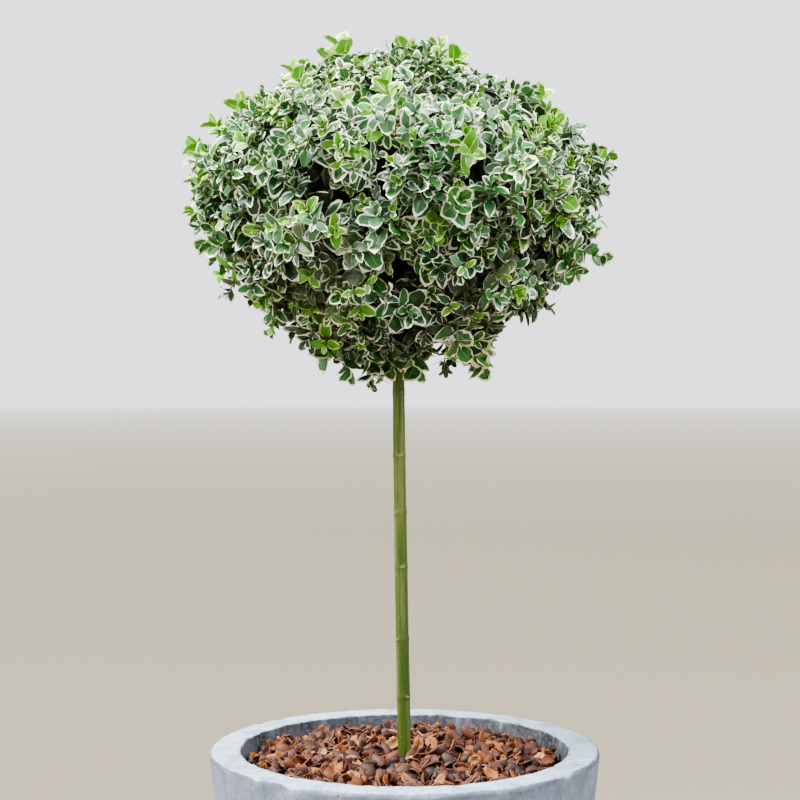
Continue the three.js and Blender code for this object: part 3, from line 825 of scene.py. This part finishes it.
def rib_at(t, angle):
    """1 on a pale rib, which runs down from each leaf scar and dies away, and 0 between the ribs."""
    height = t * TRUNK_LENGTH / MM
    rib = 0
    for node, facing in STEM_NODES:
        below = node - height
        strength = smoothstep(-2, 5, below) * smoothstep(95, 40, below)
        turn = angle - math.radians(facing + 3 * math.sin(height / 17))
        rib += strength * max(0, math.cos(2 * turn)) ** 3
    return min(1, rib)


def trunk_surface(t, angle):
    ribs = 0.26 * MM * rib_at(t, angle)
    place = Vector((math.cos(angle), math.sin(angle), t * 14))
    return trunk_radius(t) + ribs + 0.2 * MM * noise.noise(place * 2.2) + 0.75 * MM * scar_at(t, angle)


def make_trunk():
    bm = unit_limb(TRUNK_RINGS, TRUNK_SIDES)
    turns = [(vert.co.z, math.atan2(vert.co.y, vert.co.x)) for vert in bm.verts]
    bend_along(bm, trunk_axis, trunk_surface)
    trunk = piece_from_bmesh("green_stem", bm, [stem_material()])
    for name, mark in {"scar": scar_at, "rib": rib_at}.items():
        attribute = trunk.data.attributes.new(name, "FLOAT", "POINT")
        attribute.data.foreach_set("value", [mark(*turn) for turn in turns])
    finish_piece(trunk, "stem_bark", "trunk")


class Mass:
    """A mass of foliage: its name, the centre of its cell, its bough's axis, the hub where its twigs part
    and the tips of its main shoots."""

    def __init__(self, name, centre, axis, hub):
        self.name, self.centre, self.axis, self.hub = name, centre, axis, hub
        self.tips = []


def lay_out():
    masses = []
    for name, count, turn, out_share, rise, drop, step, sag, meet in TIERS:
        for i in range(count):
            angle = math.radians(turn + 360 * i / count)
            out = Vector((math.cos(angle), math.sin(angle), 0))
            height = (CROWN_UP if rise > 0 else CROWN_DOWN) * rise
            centre = CROWN_CENTRE + out * CROWN_RADIUS * out_share + UP * height
            start = trunk_axis_at(TRUNK_TOP.z - drop - step * (i % 2))
            end = CROWN_CENTRE + out * (HEART_RADIUS if out_share else 0) + UP * meet
            middle = (start + end) / 2 - UP * sag * (end - start).length
            label = f"{name}_{i + 1}" if count > 1 else name
            masses.append(Mass(label, centre, quadratic(start, middle, end), end.lerp(centre, HUB)))
    return masses


masses = lay_out()


def make_boughs():
    joined = bmesh.new()
    for mass in masses:
        bm = unit_limb(BOUGH_RINGS, BOUGH_SIDES)
        seed = Vector(mass.centre) * 30

        def surface(t, angle):
            plain = BOUGH_RADIUS[0] + (BOUGH_RADIUS[1] - BOUGH_RADIUS[0]) * t
            return plain + 0.35 * MM * noise.noise(seed + Vector((math.cos(angle), math.sin(angle), 6 * t)))

        bend_along(bm, mass.axis, surface)
        limb = bpy.data.meshes.new("limb")
        bm.to_mesh(limb)
        joined.from_mesh(limb)
        bm.free()
        bpy.data.meshes.remove(limb)
    boughs = piece_from_bmesh("boughs", joined, [bough_material()])
    finish_piece(boughs, "bough_bark", *(f"bough_{mass.name}" for mass in masses))


# ---- Shoots ----


def level_at(point):
    """0 at the crown's centre and 1 on its outline, which swells and sinks a little all round."""
    away = point - CROWN_CENTRE
    side = math.hypot(away.x, away.y) / CROWN_RADIUS
    rise = abs(away.z) / (CROWN_UP if away.z > 0 else CROWN_DOWN)
    power = UP_POWER if away.z > 0 else DOWN_POWER
    swell = 1 + 0.12 * noise.noise(away.normalized() * 2.8 + LUMP_SEED)
    return (side**power + rise**power) ** (1 / power) / swell


def in_box(point, margin):
    """Whether a place lies in the solids' box, by a margin on every side."""
    return all(low + margin < at < high - margin for low, at, high in zip(cad_low, point, cad_high))


def even_tips(count, low, high, turn=0.0, squash=1.0):
    """Points spread evenly over the crown in a spiral, at levels between low and high. A squash under 1
    brings more of them to its widest part."""
    tips = []
    for i in range(count):
        rise = 1 - 2 * (i + 0.5) / count
        side = math.sqrt(1 - rise * rise)
        angle = i * GOLDEN_ANGLE + turn
        away = Vector((side * math.cos(angle), side * math.sin(angle), rise))
        away += sprinkle(0.05)
        away.z *= squash
        tip = CROWN_CENTRE + away * between(low, high) / level_at(CROWN_CENTRE + away)
        while not in_box(tip, TIP_MARGIN):
            tip = tip.lerp(CROWN_CENTRE, 0.02)
        tips.append(tip)
    return tips


def outward_at(point):
    """The way a shoot faces at a place in the crown: away from the middle, and a little to the light."""
    away = point - CROWN_CENTRE
    away.z *= CROWN_RADIUS / (CROWN_UP if away.z > 0 else CROWN_DOWN)
    return (away.normalized() + UP * 0.35 + sprinkle(0.35)).normalized()


def in_gap(point):
    """Whether a place lies in one of the dark gaps between the sprays, which are wider under the crown."""
    shade = smoothstep(60 * MM, -80 * MM, point.z - CROWN_CENTRE.z)
    return noise.noise(point * 24 + GAP_SEED) < -0.42 + 0.23 * shade


def clear_of_trunk(point):
    if point.z > TRUNK_TOP.z:
        return True
    axis = trunk_axis_at(point.z)
    return math.hypot(point.x - axis.x, point.y - axis.y) > TRUNK_CLEARANCE


class Growth:
    """The shoots and leaves of one mass, gathered for its two joined pieces."""

    def __init__(self):
        self.paths, self.radii, self.woods = [], [], []
        self.leaves = []

    def add_shoot(self, path, radii, wood):
        """One twig along path(t), as a row of points. radii are those of its start and its tip."""
        self.paths.append([path(i / (TWIG_RINGS - 1)) for i in range(TWIG_RINGS)])
        self.radii.append(np.linspace(*radii, TWIG_RINGS))
        self.woods.append(wood)


growths = {mass.name: Growth() for mass in masses}

WOODS = {
    "green_twig": ((0.19, 0.26, 0.07), 0.5),
    "brown_twig": ((0.10, 0.075, 0.04), 0.7),
}
GREEN_WOOD, BROWN_WOOD = range(len(WOODS))

# The colours of leaf tissue, each a material.
TISSUES = {
    "leaf_deep_green": ((0.015, 0.062, 0.017), 0.34),
    "leaf_green": ((0.034, 0.152, 0.030), 0.36),
    "leaf_grey_green": ((0.080, 0.195, 0.086), 0.4),
    "leaf_fresh_green": ((0.100, 0.330, 0.022), 0.42),
    "leaf_white_edge": ((0.96, 0.97, 0.84), 0.42),
    "leaf_cream_edge": ((0.94, 0.94, 0.55), 0.42),
    "leaf_lime_edge": ((0.68, 0.84, 0.22), 0.42),
    # The next two are painted shade for leaves deep in and under the crown, the edge dull also as on older
    # leaves.
    "leaf_dull_shaded_edge": ((0.26, 0.27, 0.15), 0.5),
    "leaf_shaded_green": ((0.048, 0.074, 0.024), 0.5),
    "leaf_midrib": ((0.18, 0.32, 0.11), 0.4),
}
DEEP, GREEN, GREY, FRESH, WHITE, CREAM, LIME, DULL, DIM, RIB = range(len(TISSUES))

# What a leaf is made of: its blade, edge, patches and midrib. A spray takes one tone, dealt out by its
# shares on top and below as painted light and shade: grey-green for sheen on top, deep and shaded below.
TONES = {
    "deep": (DEEP, WHITE, GREEN, GREEN),
    "green": (GREEN, WHITE, GREY, RIB),
    "grey": (GREY, WHITE, GREEN, RIB),
    "creamy": (GREEN, CREAM, DEEP, RIB),
    "fresh": (FRESH, CREAM, GREEN, LIME),
    "young": (FRESH, LIME, FRESH, LIME),
    # Painted shade: a dim blade, with edges that are also dull as on older leaves.
    "shaded": (DIM, DULL, DEEP, DIM),
}
SPRAY_TONES = ("deep", "green", "grey", "creamy", "fresh", "young", "shaded")
SHARES_ABOVE = np.array([0.15, 0.31, 0.34, 0.14, 0.04, 0.02, 0.0])
SHARES_BELOW = np.array([0.32, 0.14, 0.02, 0.09, 0.03, 0.01, 0.39])


def in_reach(point):
    """Whether a leaf's tip stays in the crown, which is held closer on top, and in the solids' box."""
    top = smoothstep(30 * MM, 100 * MM, point.z - CROWN_CENTRE.z)
    most = MOST_LEVEL[0] + (MOST_LEVEL[1] - MOST_LEVEL[0]) * top
    return in_box(point, 1 * MM) and level_at(point) < most


# How finely a leaf is made: its steps from foot to tip, and the columns of faces across it.
LEAF_GRADES = [
    ((0.0, 0.1, 0.24, 0.4, 0.56, 0.72, 0.87, 1.0), 5),
    ((0.0, 0.14, 0.36, 0.6, 0.84, 1.0), 3),
    ((0.0, 0.2, 0.5, 0.8, 1.0), 3),
]
FULL, SMALL, PLAIN = range(len(LEAF_GRADES))


def add_leaf(growth, root, heading, up, length, tone, grade):
    """One leaf, made shorter until it stays in the crown and clear of the trunk, or left out."""
    heading = heading.normalized()
    for shrink in (1, 0.8, 0.62):
        tip = root + heading * length * shrink
        if length * shrink > LEAST_LEAF and in_reach(tip) and clear_of_trunk(tip):
            growth.leaves.append((root, turned(heading, up) * length * shrink, tone, grade))
            return


def dress_shoot(growth, path, pairs, spacing, size, tone, young, grade):
    """Opposite pairs of leaves up a shoot, each square to the last, closing to a rosette at its tip."""
    tip = path(1)
    axis = (tip - path(0.8)).normalized()
    across = axis.orthogonal().normalized()
    across.rotate(Quaternion(axis, between(0, math.pi)))
    below = 0.0
    for pair in range(pairs):
        share = pair / max(1, pairs - 1)
        below += spacing * (0.35 + 0.75 * share) * between(0.85, 1.15)
        root = tip - axis * below
        lift = math.radians(LEAF_LIFT - LIFT_LOSS * share + between(-9, 9))
        grown = min(1, 0.5 + 0.62 * share)
        for turn in (0, math.pi):
            side = across.copy()
            side.rotate(Quaternion(axis, pair * math.pi / 2 + turn + between(-0.25, 0.25)))
            heading = side * math.cos(lift) + axis * math.sin(lift) - UP * 0.12 * share
            face = axis + UP * 0.3 + sprinkle(0.4)
            leaf_tone = tone
            if young and pair < 2:
                leaf_tone = ("young", "fresh")[pair]
            add_leaf(growth, root, heading, face, size * grown * between(0.85, 1.15), leaf_tone, grade)
    if young:
        for turn in (0, math.pi):
            side = across.copy()
            side.rotate(Quaternion(axis, math.pi / 2 + turn))
            heading = side * 0.35 + axis
            root = tip - axis * 1 * MM
            add_leaf(growth, root, heading, side * -1, size * BUD_SHARE, "young", SMALL)


def forks_of(tips):
    """Groups a mass's tips by nearness, each group to be carried by one fork."""
    left = list(tips)
    forks = []
    while left:
        first = left.pop(0)
        left.sort(key=lambda tip: (tip[0] - first[0]).length)
        forks.append([first, *left[: SHOOTS_PER_FORK - 1]])
        left = left[SHOOTS_PER_FORK - 1 :]
    return forks


def pick_tone(point):
    """A spray's green and edge, with painted light on top and painted shade under the crown."""
    sun = smoothstep(-125 * MM, -15 * MM, point.z - CROWN_CENTRE.z)
    return random.choice(SPRAY_TONES, p=SHARES_ABOVE * sun + SHARES_BELOW * (1 - sun))


def grow_main_shoots():
    """Stem, forks and main shoots of every mass, by the rule that its solid follows. It returns the main
    shoots, each as its mass, its start and its tip."""
    tips = [(point, False) for point in even_tips(*MAIN_SHOOTS) if clear_of_trunk(point)]
    leaders = [(point, True) for point in LEADERS]
    for tip in tips + leaders:
        nearest = min(masses, key=lambda mass: (mass.centre - tip[0]).length)
        nearest.tips.append(tip)
    shoots = []
    for mass in masses:
        growth = growths[mass.name]
        end = mass.axis(1)
        heading = (end - mass.axis(0.98)).normalized()
        stem = quadratic(end, end + heading * (mass.hub - end).length / 2, mass.hub)
        growth.add_shoot(stem, (BOUGH_RADIUS[1], FORK_RADIUS[0]), BROWN_WOOD)
        for fork in forks_of(mass.tips):
            middle = sum((tip for tip, _ in fork), Vector()) / len(fork)
            parting = mass.hub.lerp(middle, FORK_SHARE)
            straight = quadratic(mass.hub, mass.hub.lerp(parting, 0.5), parting)
            growth.add_shoot(straight, FORK_RADIUS, BROWN_WOOD)
            for tip, leader in fork:
                last = tip - outward_at(tip) * TIP_STRETCH
                path = quadratic(parting, last, tip)
                growth.add_shoot(path, MAIN_RADIUS, BROWN_WOOD)
                shoots.append((mass, parting, tip))
                if leader:
                    dress_leader(growth, path)
                else:
                    tone = pick_tone(tip)
                    young = random.random() < 2 * YOUNG_SHARE
                    dress_shoot(growth, path, MAIN_PAIRS, MAIN_SPACING, LEAF_LENGTH, tone, young, FULL)
    return shoots


def dress_leader(growth, path, size=1.0):
    """A strong shoot that stands out of the crown, fresh where it reaches the light. Its leaves may pass
    the even outline."""
    tip = path(1)
    tones = ("young", "fresh") if tip.z > CROWN_CENTRE.z else ("creamy", "green")
    axis = (tip - path(0.85)).normalized()
    across = axis.orthogonal().normalized()
    for pair in range(LEADER_PAIRS):
        root = tip - axis * (LEADER_TOP + LEADER_SPACING * pair)
        lift = math.radians(LEADER_LIFT - LEADER_LOSS * pair)
        for turn in (0, math.pi):
            side = across.copy()
            side.rotate(Quaternion(axis, pair * math.pi / 2 + turn + between(-0.2, 0.2)))
            heading = side * math.cos(lift) + axis * math.sin(lift)
            length = LEAF_LENGTH * (0.82 + 0.09 * pair) * size
            while not in_box(root + heading * length, 1.5 * MM):
                length *= 0.9
            turn_and_size = turned(heading, axis + sprinkle(0.2)) * BROAD_LEAF * length
            growth.leaves.append((root, turn_and_size, tones[pair // 2], FULL))


def grow_strays(shoots):
    """A few strong young shoots that stand out of the crown all round."""
    for point in [*even_tips(*STRAY_SHOOTS), *FLANK_SHOOTS]:
        if clear_of_trunk(point):
            away, mass, start, _ = nearest_start(shoots, point, STRAY_REACH)
            path = quadratic(start, point - outward_at(point) * away * 0.5, point)
            growths[mass.name].add_shoot(path, STRAY_RADIUS, GREEN_WOOD)
            dress_leader(growths[mass.name], path, random.choice((0.6, 0.8)))


def nearest_start(shoots, point, reach):
    """How a finer shoot gets to a point: how far off the nearest main shoot is, its mass, the place on it
    where the finer one starts, a reach below the nearest place, and its heading."""
    best = None
    for mass, low, high in shoots:
        along = high - low
        share = (point - low).dot(along) / along.length_squared - reach / along.length
        place = low + along * min(0.92, max(0.12, share))
        away = (point - place).length
        if best is None or away < best[0]:
            best = (away, mass, place, along.normalized())
    return best


def grow_fine_shoots(shoots):
    """The finer shoots that fill the crown, each from the nearest main shoot: sprays of full leaves and
    tufts of small ones at its face, and plain shaded ones within."""
    sprays = [(point, FULL) for point in even_tips(*SPRAYS) if not in_gap(point)]
    tufts = [(point, SMALL) for point in even_tips(*TUFTS) if not in_gap(point)]
    inner = [(point, PLAIN) for point in even_tips(*INNER_SHOOTS)]
    for point, grade in sprays + tufts + inner:
        if not clear_of_trunk(point):
            continue
        away, mass, start, along = nearest_start(shoots, point, FINE_REACH)
        facing = outward_at(point)
        middle = (start + along * away * 0.35).lerp(point - facing * away * 0.45, 0.6)
        path = quadratic(start, middle, point)
        growth = growths[mass.name]
        growth.add_shoot(path, FINE_RADIUS, BROWN_WOOD if grade == PLAIN else GREEN_WOOD)
        tone = "shaded" if grade == PLAIN else pick_tone(point)
        young = grade != PLAIN and random.random() < YOUNG_SHARE
        if grade == SMALL:
            size = LEAF_LENGTH * between(0.5, 0.78)
        else:
            size = LEAF_LENGTH * between(0.82, 1.1)
        dress_shoot(growth, path, random.integers(3, 6), 0.37 * size, size, tone, young, grade)


# ---- Joined leaves and twigs ----


def leaf_width(along, half_width):
    """Half a leaf's width at a place between its foot and its tip: a slim stalk, then an oval blade."""
    blade = max(0, (along - 0.06) / 0.94)
    return half_width * (4 * blade * (1 - blade)) ** 0.58 * (1.06 - 0.12 * blade)


def leaf_shape(seed, steps, columns):
    """A leaf of length 1 with its stalk's foot at the origin. Its faces are kind 0 for the green blade, 1
    for the pale edge, 2 for a patch of a second green and 3 for the midrib, which a leaf with fewer columns
    is without."""
    rng = np.random.default_rng(seed)
    half_width = rng.uniform(0.26, 0.34)
    fold = rng.uniform(0.15, 0.6)
    droop = rng.uniform(0.0, 0.28)
    twist = rng.uniform(-0.3, 0.3)
    green_share = rng.choice((0.68, 0.82, 0.87, 0.9, 0.93))
    tip_green = rng.choice((0.3, 0.65, 0.9, 0.95))
    rows = len(steps) - 1
    middle = columns // 2
    bm = bmesh.new()
    bmesh.ops.create_grid(bm, x_segments=rows, y_segments=columns, size=0.5)
    for vert in bm.verts:
        row = round((vert.co.x + 0.5) * rows)
        column = round((vert.co.y + 0.5) * columns)
        side, place = (-1, middle - column) if column <= middle else (1, column - middle - 1)
        along = steps[row]
        scallop = 1 + 0.05 * (-1) ** row + 0.03 * rng.normal()
        width = max(0.012, leaf_width(along, half_width) * scallop if row > 0 else 0)
        flame = green_share + 0.05 * side * (-1) ** row + 0.06 * rng.normal()
        flame *= 1 - (1 - tip_green) * smoothstep(0.6, 0.95, along)
        shares = (MIDRIB * (1.4 - along), min(0.96, max(0.2, flame)), 1)
        across = side * shares[place + 2 - middle] * width
        lift = fold * abs(across) - droop * along**2 + 0.012 * rng.normal() * (place == middle)
        turn = twist * along
        vert.co.x = along
        vert.co.y = across * math.cos(turn) - lift * math.sin(turn)
        vert.co.z = across * math.sin(turn) + lift * math.cos(turn)
    points, quads = arrays_of(bm)
    row, column = np.arange(len(quads)) % rows, np.arange(len(quads)) // rows
    kinds = 2 * (rng.random(len(quads)) < PATCH_SHARE)
    kinds[column == middle] = 3 if columns == 5 else 0
    kinds[(column == 0) | (column == columns - 1)] = 1
    kinds[(row == rows - 1) & (column != middle)] = 1
    kinds[(row == 0) & (column != middle)] = 0
    return points, quads, kinds


def make_leaves(mass, shapes, materials):
    """Every leaf of a mass as one joined piece."""
    leaves = growths[mass.name].leaves
    low, high = np.array(cad_low), np.array(cad_high)
    chosen = random.integers(0, LEAF_SHAPES, len(leaves))
    placed = []
    for (root, turn, tone, grade), shape in zip(leaves, chosen):
        points, quads, kinds = shapes[grade][shape]
        points = points @ turn.T + np.array(root)
        if (points > low).all() and (points < high).all():
            placed.append((points, quads, np.array(TONES[tone])[kinds]))
    piece = piece_from_arrays(f"leaves_{mass.name}", placed, materials)
    finish_piece(piece, "foliage", f"foliage_{mass.name}")


def twig_shape():
    """An open tube of radius 1 about Z, with a ring of points at each whole height."""
    return arrays_of(lathe([(1, ring) for ring in range(TWIG_RINGS)], TWIG_SIDES))


def make_twigs(mass, tube, materials):
    """Every twig of a mass as one joined piece of slim tubes."""
    growth = growths[mass.name]
    paths = np.array([[tuple(point) for point in path] for path in growth.paths])
    tangents = np.gradient(paths, axis=1)
    tangents /= np.linalg.norm(tangents, axis=2, keepdims=True)
    reference = np.where(np.abs(tangents[:, :1, 2:]) < 0.9, [0.0, 0.0, 1.0], [1.0, 0.0, 0.0])
    side = np.cross(tangents, reference)
    side /= np.linalg.norm(side, axis=2, keepdims=True)
    other = np.cross(tangents, side)
    points, quads = tube
    ring = points[:, 2].round().astype(int)
    outward = side[:, ring] * points[:, :1] + other[:, ring] * points[:, 1:2]
    placed = paths[:, ring] + outward * np.array(growth.radii)[:, ring, None]
    twigs = [(twig, quads, np.full(len(quads), wood)) for twig, wood in zip(placed, growth.woods)]
    piece = piece_from_arrays(f"twigs_{mass.name}", twigs, materials)
    finish_piece(piece, "foliage", f"foliage_{mass.name}")


def make_foliage():
    shoots = grow_main_shoots()
    grow_fine_shoots(shoots)
    grow_strays(shoots)
    shapes = [[leaf_shape(seed, *grade) for seed in range(LEAF_SHAPES)] for grade in LEAF_GRADES]
    tissues = [leaf_material(name, *look) for name, look in TISSUES.items()]
    woods = [new_material(name, *look) for name, look in WOODS.items()]
    tube = twig_shape()
    for mass in masses:
        make_leaves(mass, shapes, tissues)
        make_twigs(mass, tube, woods)


# ---- Potting soil ----


def dress_soil():
    """The soil keeps its solid's own shape, and only takes a look."""
    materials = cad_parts["potting_soil"].data.materials
    materials.clear()
    materials.append(soil_material())


# ---- Camera, floor and light ----


def make_camera():
    """The eye, level with the trunk, and the contrast that it sees with."""
    camera = add_object("camera", bpy.data.cameras.new("camera"))
    camera.data.lens = LENS
    camera.data.sensor_width = SENSOR
    camera.location = EYE
    camera.rotation_euler = (math.radians(90 - LOOK_DOWN), 0, 0)
    bpy.context.scene.camera = camera
    bpy.context.scene.view_settings.look = "AgX - Medium High Contrast"


def floor_material():
    """Pale beige near the plant, and paler still towards the edge of sight."""
    material = new_material("pale_floor", roughness=0.85)
    where = add_node(material, "ShaderNodeTexCoord")
    away = add_node(material, "ShaderNodeVectorMath")
    away.operation = "LENGTH"
    link(material, where.outputs["Object"], away.inputs[0])
    share = add_node(material, "ShaderNodeMath")
    share.operation = "DIVIDE"
    link(material, away.outputs["Value"], share.inputs[0])
    share.inputs[1].default_value = FLOOR_REACH
    paint(material, ramp(material, share.outputs["Value"], FLOOR_SHADES))
    return material


def make_stage():
    """A plain round floor that reaches as far as any view looks."""
    bm = bmesh.new()
    bmesh.ops.create_circle(bm, cap_ends=True, segments=96, radius=FLOOR_REACH)
    bmesh.ops.translate(bm, verts=bm.verts, vec=(0, 0, -0.2 * MM))
    floor = piece_from_bmesh("floor", bm, [floor_material()])


def add_light(name, kind, place, strength, size, colour):
    """A soft light on the crown. size is an area light's width, or the angle of sky that a sun fills."""
    light = add_object(name, bpy.data.lights.new(name, kind))
    light.data.energy = strength
    light.data.color = colour
    if kind == "SUN":
        light.data.angle = size
    else:
        light.data.size = size
    light.location = place
    light.rotation_euler = (Vector(LIGHT_AIM) - Vector(place)).to_track_quat("-Z", "Y").to_euler()


def make_world():
    """An even pale sky. Seen directly it is a white wall, brighter than the light that it gives."""
    world = bpy.data.worlds.new("studio")
    world.use_nodes = True
    tree = world.node_tree
    light = tree.nodes["Background"]
    light.inputs["Color"].default_value = (0.86, 0.92, 1.0, 1)
    light.inputs["Strength"].default_value = SKY_STRENGTH
    wall = tree.nodes.new("ShaderNodeBackground")
    wall.inputs["Color"].default_value = (0.93, 0.94, 1.0, 1)
    wall.inputs["Strength"].default_value = WALL_STRENGTH
    path = tree.nodes.new("ShaderNodeLightPath")
    choice = tree.nodes.new("ShaderNodeMixShader")
    tree.links.new(path.outputs["Is Camera Ray"], choice.inputs[0])
    tree.links.new(light.outputs[0], choice.inputs[1])
    tree.links.new(wall.outputs[0], choice.inputs[2])
    tree.links.new(choice.outputs[0], tree.nodes["World Output"].inputs["Surface"])
    bpy.context.scene.world = world


def make_lights():
    add_light("key", "SUN", (-1.5, -0.4, 3.1), 12.2, math.radians(32), WARM_LIGHT)
    add_light("fill_right", "AREA", (2.2, -1.6, 2.5), 155, 2.0, COOL_LIGHT)
    add_light("fill_left", "AREA", (-2.5, -1.1, 1.9), 50, 2.0, COOL_LIGHT)


make_camera()
make_stage()
make_world()
make_lights()
make_planter()
make_mulch_bed()
make_husks()
make_trunk()
make_boughs()
make_foliage()
dress_soil()
